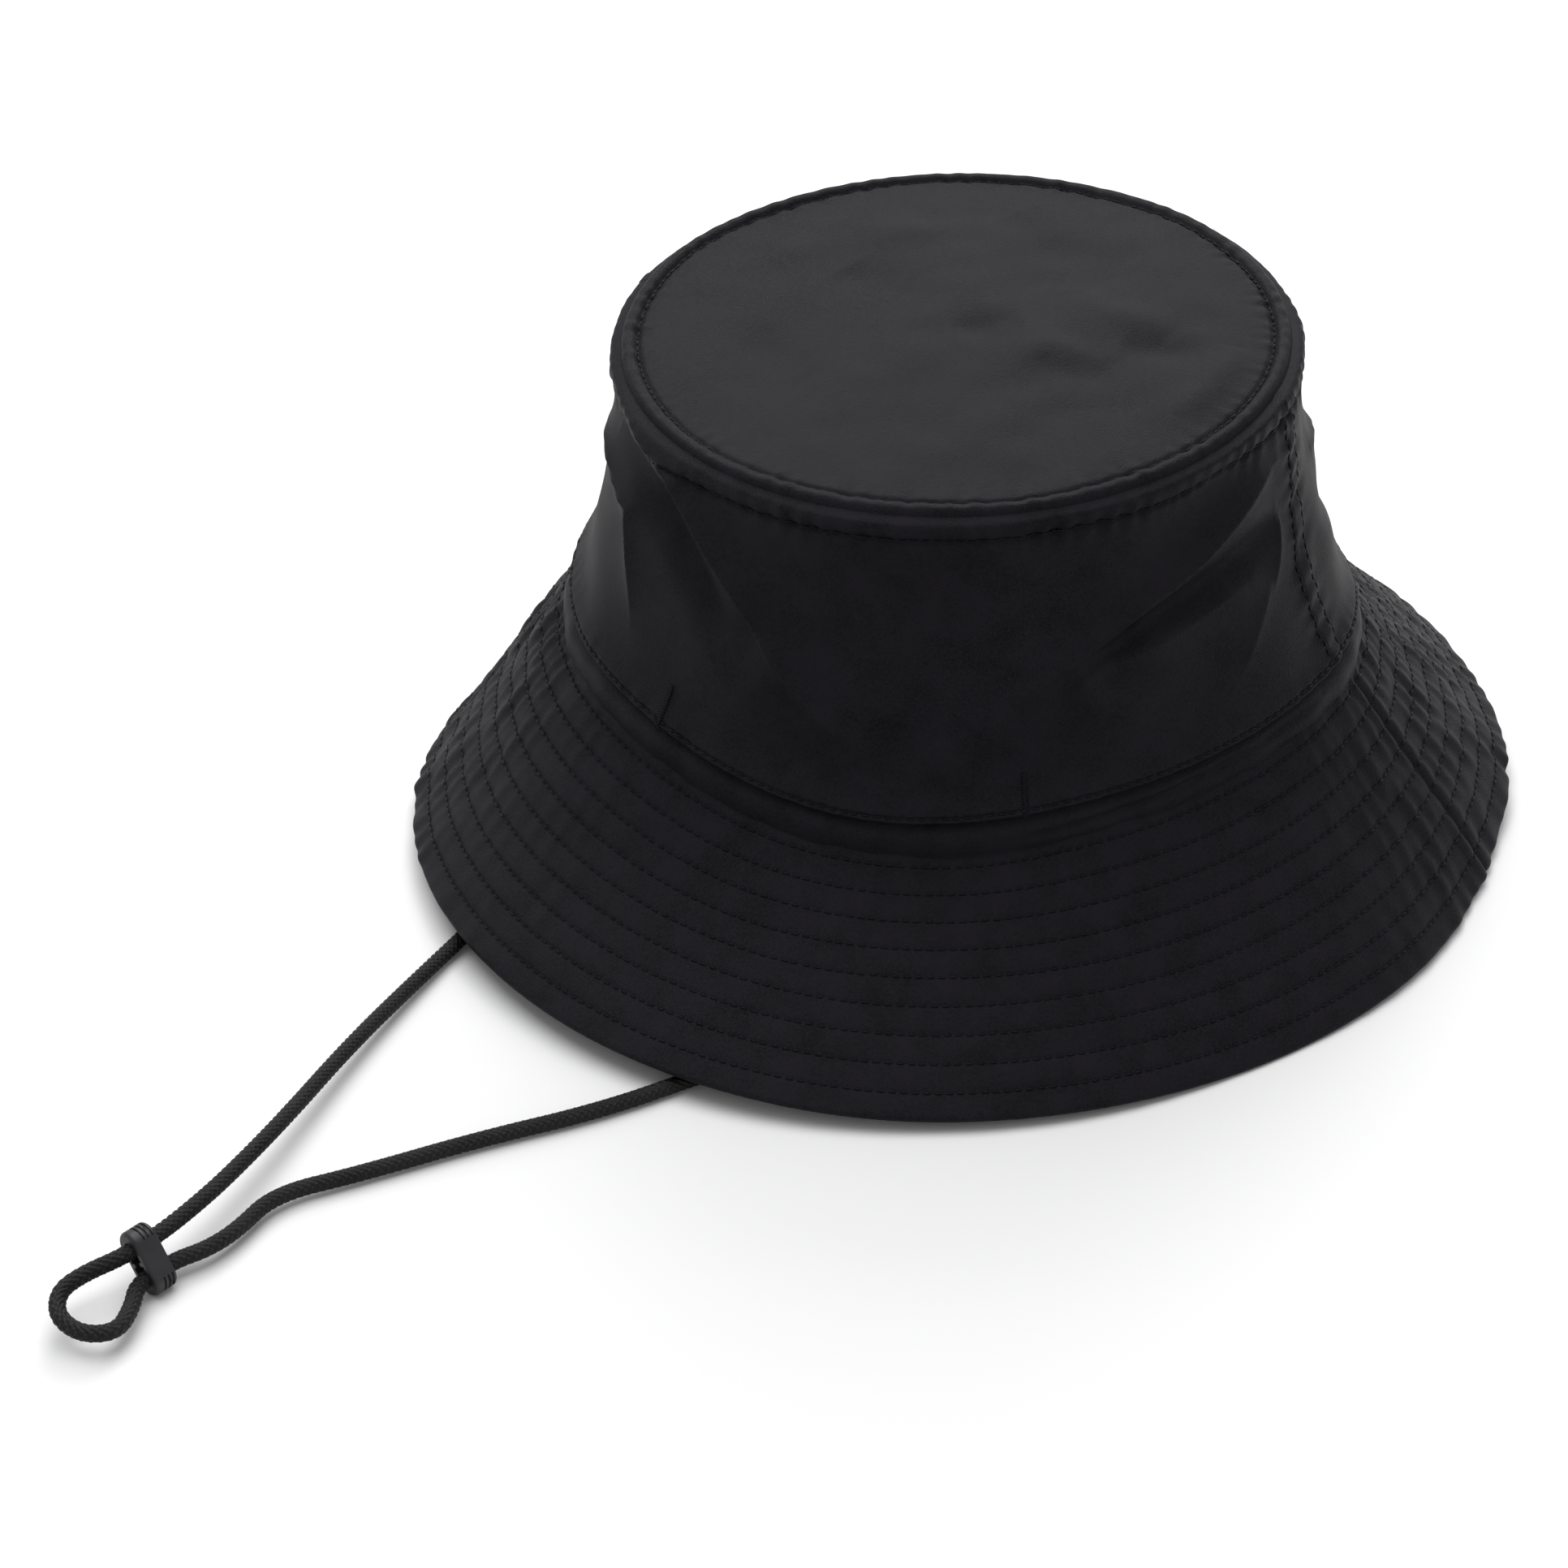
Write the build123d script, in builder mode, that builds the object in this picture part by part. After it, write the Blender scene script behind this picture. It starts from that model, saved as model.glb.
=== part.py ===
"""A bucket hat with a quilted brim, a round chin cord and a cord lock, standing on its brim.

Millimetres. +Z is up, -Y is the back of the head, +X and -X are the ears.
The origin is on the surface the hat stands on, under the middle of the head opening.
Angles go round the hat from the right ear (+X), anticlockwise seen from above.
Lists "round the hat" hold eight values: right ear, front right, front, front left, left ear,
back left, back and back right.
"""

import os
from math import cos, degrees, pi, radians, sin, tan

from build123d import *

os.makedirs("parts", exist_ok=True)

# Crown
head_radius = 93.0
head_outline = [4, 0, -2, 0, 0, 4, -1, -4]  # out from the head radius, round the hat
crown_height = 69.0
crown_top_radius = 79.4
crown_top_shift = (-2.5, -0.8)
crown_top_slope = (0.025, 0.058)
crown_dome = 3.0
crown_sag = 2.0
crown_cloth = 0.7

# Band between the crown and the brim
band_height = 7.8
band_flare = 2.9
band_bulge = 0.8

# Brim
brim_width = 62.0
brim_dips = [52, 40, 48, 56, 58, 46, 32, 42]  # degrees below level, round the hat
brim_lifts = [1.5, 7, 4, 2, 0, 6, 4.5, 0]  # of the edge, round the hat
brim_cloth = 0.5
interlining = 0.8
interlining_inset = 1.5

# Inside the crown
sweatband_drop = 5.0
sweatband_rise = 20.0
sweatband_cloth = 0.8
tape_cloth = 0.6
top_tape_width = 6.0
side_tape_width = 12.0
anchor_size = (4.8, 12.0, 12.0)
anchor_drop = 14.0

# Adjuster tape and the two bar tacks that end it
tack_angles = (242.0, 298.6)
tack_height = 10.5
tack_width = 1.0
tack_proud = 0.7
adjuster_height = 10.0
adjuster_overlap = 4.0

# Cord and cord lock
cord_diameter = 3.6
cord_clearance = 0.2
strand_pitch = 6.6
lock_length = 15.2
lock_width = 7.2
lock_depth = 5.8
lock_lean = 36.0
lock_heading = 67.5
lock_place = (-101.5, -242.7)
lock_rounding = 0.9
rib_size = 0.9
groove_width = 0.5
groove_deep = 0.35
groove_pitch = 1.1
groove_shift = 0.6  # of the middle groove towards the hat, from the lock's middle

# Clearances between sewn layers, and the steps used round the hat
layer_gap = 0.1
piece_gap = 0.3
seam_gap = 0.15  # degrees, each side of a join
step = 7.5


def around(values, angle):
    """The value at an angle of a smooth curve through values evenly spaced round the hat."""
    place = (angle % 360) / 360 * len(values)
    first = int(place)
    t = place - first
    a, b, c, d = (values[(first + k) % len(values)] for k in (-1, 0, 1, 2))
    return b + 0.5 * t * (c - a + t * (2 * a - 5 * b + 4 * c - d + t * (3 * (b - c) + d - a)))


def angles_between(start, end):
    """Even angles from start to end, no more than a step apart."""
    count = max(1, round((end - start) / step))
    return [start + (end - start) * k / count for k in range(count + 1)]


def radial_plane(angle):
    """The upright half plane at an angle: sketch x is the radius and sketch y is the height."""
    a = radians(angle)
    return Plane(origin=(0, 0, 0), x_dir=(cos(a), sin(a), 0), z_dir=(sin(a), -cos(a), 0))


brim_thickness = 2 * brim_cloth + interlining + 2 * layer_gap
whole_turn = range(360)
lowest_lift = min(around(brim_lifts, angle) for angle in whole_turn)


def brim_point(angle, along, below=0.0):
    """Radius and height of a point on the brim, along it from the crown and below its top face."""
    dip = radians(around(brim_dips, angle))
    edge_height = around(brim_lifts, angle) - lowest_lift + brim_thickness * cos(dip)
    start_radius = base_radius(angle) + band_flare
    start_height = edge_height + brim_width * sin(dip)
    radius = start_radius + along * cos(dip) - below * sin(dip)
    height = start_height - along * sin(dip) - below * cos(dip)
    return radius, height


def base_radius(angle):
    """Radius of the crown where it meets the band."""
    return head_radius + around(head_outline, angle)


def base_height(angle):
    """Height of the crown's lower edge."""
    return brim_point(angle, 0)[1] + band_height


mean_base_height = sum(base_height(angle) for angle in whole_turn) / len(whole_turn)
top_centre = (*crown_top_shift, mean_base_height + crown_height)


def wall_point(angle, share, inside=0.0):
    """Radius and height on the crown's side, share 0 at the band to 1 at the top seam."""
    a = radians(angle)
    shift = crown_top_shift[0] * cos(a) + crown_top_shift[1] * sin(a)
    slope = crown_top_slope[0] * cos(a) + crown_top_slope[1] * sin(a)
    top_radius = crown_top_radius + shift
    top_height = top_centre[2] + crown_top_radius * slope
    low = base_radius(angle)
    radius = low + (top_radius - low) * share - crown_sag * 4 * share * (1 - share) - inside
    height = base_height(angle) + (top_height - base_height(angle)) * share
    return radius, height


def wall_share(angle, rise):
    """The share of the crown's side at a height above the band."""
    return rise / (wall_point(angle, 1)[1] - wall_point(angle, 0)[1])


def layer(outer, thickness_inward):
    """A closed outline: the outer points, then the same points moved inward."""
    return outer + [(radius - thickness_inward, height) for radius, height in reversed(outer)]


def sections_round(start, end, outline):
    """The outline's upright sections from one angle to the other, ready for loft."""
    faces = []
    for angle in angles_between(start, end):
        with BuildSketch(radial_plane(angle)) as section:
            with BuildLine():
                Polyline(*outline(angle), close=True)
            make_face()
        faces.append(section.sketch.face())
    return faces


# The halves: the back runs from the left ear over -Y to the right ear, the front over +Y
halves = {"front": (seam_gap, 180 - seam_gap), "back": (180 + seam_gap, 360 - seam_gap)}
# A strip that goes all round starts and ends at the middle of the back
round_strip = (-90 + seam_gap, 270 - seam_gap)


# Crown side panels, joined at the ears
def crown_side_outline(angle):
    low = wall_share(angle, piece_gap)
    high = 1 - wall_share(angle, crown_cloth + piece_gap)
    shares = [low + (high - low) * k / 4 for k in range(5)]
    return layer([wall_point(angle, share) for share in shares], crown_cloth)


with BuildPart() as crown_side_front:
    loft(sections_round(*halves["front"], crown_side_outline))

with BuildPart() as crown_side_back:
    loft(sections_round(*halves["back"], crown_side_outline))

# Crown top, a shallow dome on the sloping top seam
top_plane = Plane(
    origin=top_centre,
    x_dir=(1, 0, crown_top_slope[0]),
    z_dir=(-crown_top_slope[0], -crown_top_slope[1], 1),
)
top_axis = Axis(top_plane.origin, top_plane.z_dir)
top_profile = Plane(origin=top_plane.origin, x_dir=top_plane.x_dir, z_dir=-top_plane.y_dir)
rim = crown_top_radius - layer_gap

with BuildPart() as crown_top:
    with BuildSketch(top_profile):
        with BuildLine():
            Bezier((0, crown_dome), (rim / 2, crown_dome), (rim, 0))
            Line((rim, 0), (rim, -crown_cloth))
            Bezier((rim, -crown_cloth), (rim / 2, crown_dome - crown_cloth), (0, crown_dome - crown_cloth))
            Line((0, crown_dome - crown_cloth), (0, crown_dome))
        make_face()
    revolve(axis=top_axis)

# Tape over the top seam, inside
tape_outer = crown_top_radius - crown_cloth - 2 * piece_gap
tape_top = -crown_cloth - piece_gap

with BuildPart() as top_seam_tape:
    with BuildSketch(top_profile):
        with Locations((tape_outer - top_tape_width / 2, tape_top - tape_cloth / 2)):
            Rectangle(top_tape_width, tape_cloth)
    revolve(axis=top_axis)


# Tapes over the two side seams, inside, from the sweatband to the top seam tape
def side_tape_outline(angle):
    low = wall_share(angle, sweatband_rise + 2 * piece_gap)
    high = 1 - wall_share(angle, top_tape_width)
    shares = [low + (high - low) * k / 2 for k in range(3)]
    outer = [wall_point(angle, share, crown_cloth + piece_gap) for share in shares]
    return layer(outer, tape_cloth)


side_tape_half_angle = degrees(side_tape_width / 2 / head_radius)

with BuildPart() as side_seam_tape_right:
    loft(sections_round(-side_tape_half_angle, side_tape_half_angle, side_tape_outline))

with BuildPart() as side_seam_tape_left:
    loft(sections_round(180 - side_tape_half_angle, 180 + side_tape_half_angle, side_tape_outline))


# Band between the crown and the brim
def band_outline(angle):
    radius, top = base_radius(angle), base_height(angle)
    middle = (radius + band_flare / 2 + band_bulge, top - band_height / 2)
    foot = (radius + band_flare, top - band_height + piece_gap)
    return layer([(radius, top), middle, foot], crown_cloth)


with BuildPart() as base_band:
    loft(sections_round(*round_strip, band_outline))


# Brim: top cloth, stiff interlining and under cloth, in two halves joined at the ears
def brim_layer(start, stop, top, thickness):
    """The outline, as a function of the angle, of one layer of the brim."""

    def outline(angle):
        return [
            brim_point(angle, start, top),
            brim_point(angle, stop, top),
            brim_point(angle, stop, top + thickness),
            brim_point(angle, start, top + thickness),
        ]

    return outline


interlining_top = brim_cloth + layer_gap
under_top = interlining_top + interlining + layer_gap
brim_top_outline = brim_layer(piece_gap, brim_width, 0, brim_cloth)
brim_under_outline = brim_layer(piece_gap, brim_width, under_top, brim_cloth)
interlining_outline = brim_layer(
    interlining_inset, brim_width - interlining_inset, interlining_top, interlining
)

with BuildPart() as brim_top_front:
    loft(sections_round(*halves["front"], brim_top_outline))

with BuildPart() as brim_top_back:
    loft(sections_round(*halves["back"], brim_top_outline))

with BuildPart() as brim_interlining_front:
    loft(sections_round(*halves["front"], interlining_outline))

with BuildPart() as brim_interlining_back:
    loft(sections_round(*halves["back"], interlining_outline))

with BuildPart() as brim_under_front:
    loft(sections_round(*halves["front"], brim_under_outline))

with BuildPart() as brim_under_back:
    loft(sections_round(*halves["back"], brim_under_outline))


# Sweatband, one strip inside the lower crown
def inner_outline(angle, bottom, top, inside, thickness):
    """A strip against the crown's inner face between two heights measured from the band.

    Below the crown's lower edge it hangs straight down, with a corner at that edge.
    """
    start = max(0, bottom)
    outer = []
    for k in range(3):
        rise = start + (top - start) * k / 2
        radius = wall_point(angle, wall_share(angle, rise), crown_cloth + inside)[0]
        outer.append((radius, base_height(angle) + rise))
    if bottom < start:
        outer.insert(0, (outer[0][0], base_height(angle) + bottom))
    return layer(outer, thickness)


def sweatband_outline(angle):
    return inner_outline(angle, -sweatband_drop, sweatband_rise, piece_gap, sweatband_cloth)


with BuildPart() as sweatband:
    loft(sections_round(*round_strip, sweatband_outline))


# Size-adjuster tape across the back, inside the sweatband
def adjuster_outline(angle):
    inside = sweatband_cloth + 2 * piece_gap
    return inner_outline(angle, 0, adjuster_height, inside, tape_cloth)


adjuster_start = tack_angles[0] - adjuster_overlap
adjuster_end = tack_angles[1] + adjuster_overlap

with BuildPart() as adjuster_tape:
    loft(sections_round(adjuster_start, adjuster_end, adjuster_outline))


# Bar tacks, on the outside of the crown where the adjuster tape ends
def tack_outline(angle):
    low = wall_share(angle, piece_gap)
    high = wall_share(angle, tack_height)
    proud = 2 * layer_gap + tack_proud
    return layer([wall_point(angle, low, -proud), wall_point(angle, high, -proud)], tack_proud)


tack_half_angle = degrees(tack_width / 2 / head_radius)

with BuildPart() as bartack_left:
    loft(sections_round(tack_angles[0] - tack_half_angle, tack_angles[0] + tack_half_angle, tack_outline))

with BuildPart() as bartack_right:
    loft(sections_round(tack_angles[1] - tack_half_angle, tack_angles[1] + tack_half_angle, tack_outline))


# Anchors: folded tape sewn in at the ears, with the cord's ends inside the folds
def anchor_place(angle):
    """Distance from the origin and lowest height of the anchor at an ear.

    Its flat outer face clears the sweatband across its whole width.
    """
    inside = crown_cloth + sweatband_cloth + 2 * piece_gap
    half_angle = degrees(anchor_size[1] / 2 / head_radius)
    outer_face = min(
        wall_point(angle + turn, 0, inside)[0] * cos(radians(turn))
        for turn in (-half_angle, 0, half_angle)
    )
    return outer_face - anchor_size[0] / 2, base_height(angle) - anchor_drop


anchor_right_x, anchor_right_z = anchor_place(0)
anchor_left_x, anchor_left_z = anchor_place(180)

with BuildPart() as cord_anchor_right:
    with Locations((anchor_right_x, 0, anchor_right_z + anchor_size[2] / 2)):
        Box(*anchor_size)
    fillet(cord_anchor_right.edges().filter_by(Axis.Y), anchor_size[0] / 6)

with BuildPart() as cord_anchor_left:
    with Locations((-anchor_left_x, 0, anchor_left_z + anchor_size[2] / 2)):
        Box(*anchor_size)
    fillet(cord_anchor_left.edges().filter_by(Axis.Y), anchor_size[0] / 6)

# Cord lock: an oblong ring that stands on its end, leaning, with a slot for the two strands
heading = Vector(cos(radians(lock_heading)), sin(radians(lock_heading)), 0)
sideways = Vector(-heading.Y, heading.X, 0)
upward = sideways * sin(radians(lock_lean)) + Vector(0, 0, cos(radians(lock_lean)))
end_radius = lock_width / 2
lock_height = (lock_length / 2 - end_radius) * cos(radians(lock_lean)) + end_radius
lock_centre = Vector(*lock_place, lock_height)
lock_plane = Plane(origin=lock_centre - heading * (lock_depth / 2), x_dir=upward, z_dir=heading)
slot_width = cord_diameter + 2 * cord_clearance
slot_length = strand_pitch + slot_width
first_groove = lock_depth / 2 + groove_shift - groove_width / 2 - groove_pitch
groove_starts = [first_groove + k * groove_pitch for k in range(3)]

with BuildPart() as cord_lock:
    with BuildSketch(lock_plane):
        SlotOverall(lock_length, lock_width)
    extrude(amount=lock_depth)
    face_edges = cord_lock.faces().filter_by(lambda face: abs(face.normal_at().dot(heading)) > 0.99)
    fillet(face_edges.edges(), lock_rounding)
    with BuildSketch(lock_plane):
        SlotOverall(slot_length, slot_width)
        for side in (-1, 1):
            with Locations((0, side * (slot_width - rib_size) / 2)):
                Rectangle(rib_size, rib_size, mode=Mode.SUBTRACT)
    extrude(amount=lock_depth, mode=Mode.SUBTRACT)
    for start in groove_starts:
        with BuildSketch(lock_plane.offset(start)):
            SlotOverall(lock_length + 1, lock_width + 1)
            SlotOverall(lock_length - 2 * groove_deep, lock_width - 2 * groove_deep, mode=Mode.SUBTRACT)
            Rectangle(lock_length - lock_width + 1, lock_width + 2, mode=Mode.SUBTRACT)
        extrude(amount=groove_width, mode=Mode.SUBTRACT)

# Chin cord, from the left anchor out under the brim, through the lock, round the loop and back
upper_pass = lock_centre + upward * (strand_pitch / 2)
lower_pass = lock_centre - upward * (strand_pitch / 2)
left_strand = [
    (-anchor_left_x, 0, anchor_left_z),
    (-anchor_left_x, 0, 25),
    (-86, -28, 4),
    (-84, -66, 2.2),
    (-87, -104, 2.2),
    (-91, -130, 2.8),
    (-94, -160, 4.8),
    (-95, -190, 6.8),
    (-97, -214, 8.2),
    (-99, -227, 9),
]
loop = [
    (-111, -253, 8.5),
    (-114, -259, 7.5),
    (-111, -265, 6.5),
    (-104, -267, 5.5),
    (-98, -263, 4.8),
    (-99, -255, 4.4),
]
right_strand = [
    (-93, -233, 4),
    (-90, -225, 3.5),
    (-88, -211, 3),
    (-74, -198, 2.4),
    (-54, -178, 2.3),
    (-32, -159, 2.2),
    (-14, -138, 2.2),
    (8, -114, 2.2),
    (40, -84, 2.2),
    (71, -54, 2.4),
    (86, -26, 5),
    (anchor_right_x, 0, 25),
    (anchor_right_x, 0, anchor_right_z),
]
hat_side, loop_side = 5.0, 5.0
route = [Vector(*point) for point in left_strand]
route += [upper_pass + heading * hat_side, upper_pass - heading * loop_side]
route += [Vector(*point) for point in loop]
route += [lower_pass - heading * loop_side, lower_pass + heading * hat_side]
route += [Vector(*point) for point in right_strand]


def bend_radii(points):
    """For each inner point, a radius that uses 0.45 of the shorter run next to it."""
    radii = []
    for before, at, after in zip(points, points[1:], points[2:]):
        turn = (at - before).get_angle(after - at)
        shorter = min((at - before).length, (after - at).length)
        radii.append(0.45 * shorter / tan(radians(turn / 2)))
    return radii


cord_radii = bend_radii(route)

with BuildPart() as chin_cord:
    with BuildLine():
        cord_line = FilletPolyline(*route, radius=cord_radii)
    with BuildSketch(Plane(origin=route[0], z_dir=route[1] - route[0])):
        Circle(cord_diameter / 2)
    sweep(path=cord_line)

print("cord radii", [round(radius, 1) for radius in cord_radii])
print("cord length", round(cord_line.length, 1))
straight_volume = pi * cord_diameter**2 / 4 * cord_line.length
print("cord volume over section x length", round(chin_cord.part.volume / straight_volume, 4))

pieces = {
    "crown_top": crown_top,
    "crown_side_front": crown_side_front,
    "crown_side_back": crown_side_back,
    "top_seam_tape": top_seam_tape,
    "side_seam_tape_right": side_seam_tape_right,
    "side_seam_tape_left": side_seam_tape_left,
    "base_band": base_band,
    "brim_top_front": brim_top_front,
    "brim_top_back": brim_top_back,
    "brim_interlining_front": brim_interlining_front,
    "brim_interlining_back": brim_interlining_back,
    "brim_under_front": brim_under_front,
    "brim_under_back": brim_under_back,
    "sweatband": sweatband,
    "adjuster_tape": adjuster_tape,
    "bartack_left": bartack_left,
    "bartack_right": bartack_right,
    "cord_anchor_left": cord_anchor_left,
    "cord_anchor_right": cord_anchor_right,
    "chin_cord": chin_cord,
    "cord_lock": cord_lock,
}
for name, piece in pieces.items():
    piece.part.label = name
    export_step(piece.part, f"parts/{name}.step")
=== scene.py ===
"""A black bucket hat with a quilted brim, a braided chin cord and an oblong cord lock.

Metres, in the CAD frame: +Z is up, -Y is the back of the head, +X and -X are the ears.
Angles go round the hat in degrees from +X, anticlockwise seen from above.
Lists "round the hat" hold eight values, one every 45 degrees, starting at +X.
"""

import math

import bmesh
import bpy
import numpy as np
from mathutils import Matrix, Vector


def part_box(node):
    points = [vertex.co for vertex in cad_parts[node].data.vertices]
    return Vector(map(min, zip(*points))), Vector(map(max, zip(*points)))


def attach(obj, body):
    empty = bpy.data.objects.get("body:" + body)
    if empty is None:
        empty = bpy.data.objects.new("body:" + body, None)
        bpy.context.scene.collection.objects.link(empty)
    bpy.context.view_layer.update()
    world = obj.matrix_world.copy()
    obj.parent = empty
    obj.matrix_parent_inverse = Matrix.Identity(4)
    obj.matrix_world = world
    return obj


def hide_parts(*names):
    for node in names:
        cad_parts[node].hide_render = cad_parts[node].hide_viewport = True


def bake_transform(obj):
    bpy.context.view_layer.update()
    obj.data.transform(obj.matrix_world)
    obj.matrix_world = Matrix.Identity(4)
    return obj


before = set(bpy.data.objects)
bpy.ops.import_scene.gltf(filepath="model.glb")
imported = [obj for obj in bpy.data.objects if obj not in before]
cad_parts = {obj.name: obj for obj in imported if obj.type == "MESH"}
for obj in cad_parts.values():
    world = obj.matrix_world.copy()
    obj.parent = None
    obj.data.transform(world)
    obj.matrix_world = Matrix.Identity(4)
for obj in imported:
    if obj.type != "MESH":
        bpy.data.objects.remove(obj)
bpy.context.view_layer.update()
MM = 0.001

# ---------------------------------------------------------------- sizes, as in the CAD model

head_radius = 93.0 * MM
head_outline = np.array([4, 0, -2, 0, 0, 4, -1, -4]) * MM
crown_top_radius = 79.4 * MM
crown_top_shift = (-2.5 * MM, -0.8 * MM)
crown_top_slope = (0.025, 0.058)
crown_height = 69.0 * MM
crown_dome = 3.0 * MM
crown_sag = 2.0 * MM
band_height = 7.8 * MM
band_flare = 2.9 * MM
brim_width = 62.0 * MM
brim_thickness = 2.0 * MM
brim_dips = np.array([52, 40, 48, 56, 58, 46, 32, 42])
brim_lifts = np.array([1.5, 7, 4, 2, 0, 6, 4.5, 0]) * MM
sweatband_drop = 5.0 * MM
sweatband_rise = 20.0 * MM
sweatband_thickness = 0.8 * MM
tape_thickness = 0.6 * MM
top_tape_width = 6.0 * MM
adjuster_height = 10.0 * MM
cord_diameter = 3.6 * MM
strand_pitch = 6.6 * MM
lock_heading = math.radians(67.5)
lock_lean = math.radians(36)

# Mean radii, for lengths measured round the hat
side_radius = 86 * MM
side_seam_radius = 88 * MM
band_radius = 95 * MM
brim_radius = 118 * MM
brim_seam_radius = 120 * MM
side_height = 70 * MM

# Sewing
cloth_thickness = 0.5 * MM
stitch_pitch = 2.6 * MM
stitch_length = 2.0 * MM
thread_radius = 0.25 * MM
quilt_rows = 9
quilt_first = 2.0 * MM
quilt_pitch = 6.75 * MM
quilt_puff = 0.42 * MM
top_seam_margin = 5.0 * MM
side_seam_margin = 6.0 * MM
base_stitch_rise = 1.6 * MM
felled_width = 6.6 * MM
felled_stitch = 0.42 * felled_width
seam_puff = 0.9 * MM
ears = (0, 180)

# Bar tacks, about a degree round from the CAD model's and half a millimetre shorter
tack_angles = (241.0, 297.5)
tack_height = 10.0 * MM
tack_half_width = 0.75 * MM
tack_turns = 17

# Mesh steps
columns = 1080
angles = np.arange(columns) * 360 / columns
seed = np.random.default_rng(7)


def turn_from(middle, angle):
    """Degrees from one angle to another, between -180 and 180."""
    return np.mod(angle - middle + 180, 360) - 180


def around(values, angle):
    """The value at an angle of a smooth curve through values evenly spaced round the hat."""
    place = np.mod(angle, 360) / 360 * len(values)
    first = np.floor(place).astype(int)
    t = place - first
    a, b, c, d = (values[(first + k) % len(values)] for k in (-1, 0, 1, 2))
    return b + 0.5 * t * (c - a + t * (2 * a - 5 * b + 4 * c - d + t * (3 * (b - c) + d - a)))


whole_turn = np.arange(360)
lowest_lift = around(brim_lifts, whole_turn).min()


def brim_point(angle, along):
    """Radius and height on the brim's top face, along it from the crown."""
    dip = np.radians(around(brim_dips, angle))
    edge_height = around(brim_lifts, angle) - lowest_lift + brim_thickness * np.cos(dip)
    radius = base_radius(angle) + band_flare + along * np.cos(dip)
    height = edge_height + (brim_width - along) * np.sin(dip)
    return radius, height


def base_radius(angle):
    """Radius of the crown where it meets the band."""
    return head_radius + around(head_outline, angle)


def base_height(angle):
    """Height of the crown's lower edge."""
    return brim_point(angle, 0)[1] + band_height


top_height = base_height(whole_turn).mean() + crown_height


def wall_point(angle, share, inside=0.0):
    """Radius and height on the crown's side, share 0 at the band to 1 at the top seam."""
    a = np.radians(angle)
    shift = crown_top_shift[0] * np.cos(a) + crown_top_shift[1] * np.sin(a)
    slope = crown_top_slope[0] * np.cos(a) + crown_top_slope[1] * np.sin(a)
    low = base_radius(angle)
    high = base_height(angle)
    radius = low + (crown_top_radius + shift - low) * share - crown_sag * 4 * share * (1 - share)
    height = high + (top_height + crown_top_radius * slope - high) * share
    return radius - inside, height


def wall_length(angle):
    """Height of the crown's side from the band to the top seam."""
    return wall_point(angle, 1.0)[1] - wall_point(angle, 0.0)[1]


def turned(angle, radius_height):
    """Points in space from an angle, a radius and a height."""
    a = np.radians(angle)
    radius, height = np.broadcast_arrays(*radius_height)
    a = np.broadcast_to(a, radius.shape)
    return np.stack([radius * np.cos(a), radius * np.sin(a), height], axis=-1)


# ---------------------------------------------------------------- relief


def bump(distance, width):
    """1 at distance 0, falling smoothly to 0 a few widths away."""
    return np.exp(-((distance / width) ** 2))


def waves(x, y, count, longest, shortest, once_round=None):
    """Smooth uneven waves of about unit height, from a fixed random seed.

    If once_round is given, x closes on itself after that length.
    """
    total = np.zeros(np.broadcast(x, y).shape)
    for _ in range(count):
        length = np.exp(seed.uniform(np.log(shortest), np.log(longest)))
        way = seed.uniform(0, 2 * np.pi)
        phase = seed.uniform(0, 2 * np.pi)
        per_metre = np.cos(way) / length
        if once_round:
            per_metre = np.round(per_metre * once_round) / once_round
        total += np.sin(2 * np.pi * (x * per_metre + y * np.sin(way) / length) + phase)
    return total / np.sqrt(count)


def fold(x, y, points, height, width, sharp=False):
    """A ridge, or a valley if height is negative, along a line of points, fading at its ends."""
    best = np.full(np.broadcast(x, y).shape, 1e9)
    place = np.zeros_like(best)
    points = np.array(points, float)
    steps = np.linalg.norm(np.diff(points, axis=0), axis=1)
    before = 0.0
    for start, end, length in zip(points, points[1:], steps):
        t = ((x - start[0]) * (end[0] - start[0]) + (y - start[1]) * (end[1] - start[1])) / length**2
        t = np.clip(t, 0, 1)
        nearest_x = start[0] + t * (end[0] - start[0])
        nearest_y = start[1] + t * (end[1] - start[1])
        distance = np.hypot(x - nearest_x, y - nearest_y)
        nearer = distance < best
        best = np.where(nearer, distance, best)
        place = np.where(nearer, before + t * length, place)
        before += length
    ends = np.sin(np.pi * np.clip(place / before, 0.02, 0.98)) ** 0.6
    across = np.exp(-best / width) if sharp else bump(best, width)
    return height * ends * across


# ---------------------------------------------------------------- meshes


def normals_of(grid, closed):
    """Unit normals of a grid of points whose columns go round the hat."""
    along = np.gradient(grid, axis=0)
    if closed:
        across = np.roll(grid, -1, axis=1) - np.roll(grid, 1, axis=1)
    else:
        across = np.gradient(grid, axis=1)
    normal = np.cross(across, along)
    return normal / np.maximum(np.linalg.norm(normal, axis=-1, keepdims=True), 1e-12)


def raised(grid, relief, closed=True):
    """The grid moved along its own normals."""
    return grid + normals_of(grid, closed) * relief[..., None]


def mesh_object(name, points, quads, uvs, material):
    """A smooth mesh object with one UV pair for each corner of each quad."""
    mesh = bpy.data.meshes.new(name)
    mesh.from_pydata(points.reshape(-1, 3).tolist(), [], quads.tolist())
    layer = mesh.uv_layers.new(name="cloth")
    layer.data.foreach_set("uv", uvs.astype(np.float32).ravel())
    mesh.polygons.foreach_set("use_smooth", np.ones(len(quads), bool))
    mesh.materials.append(material)
    mesh.validate()
    thing = bpy.data.objects.new(name, mesh)
    bpy.context.scene.collection.objects.link(thing)
    return thing


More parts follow.
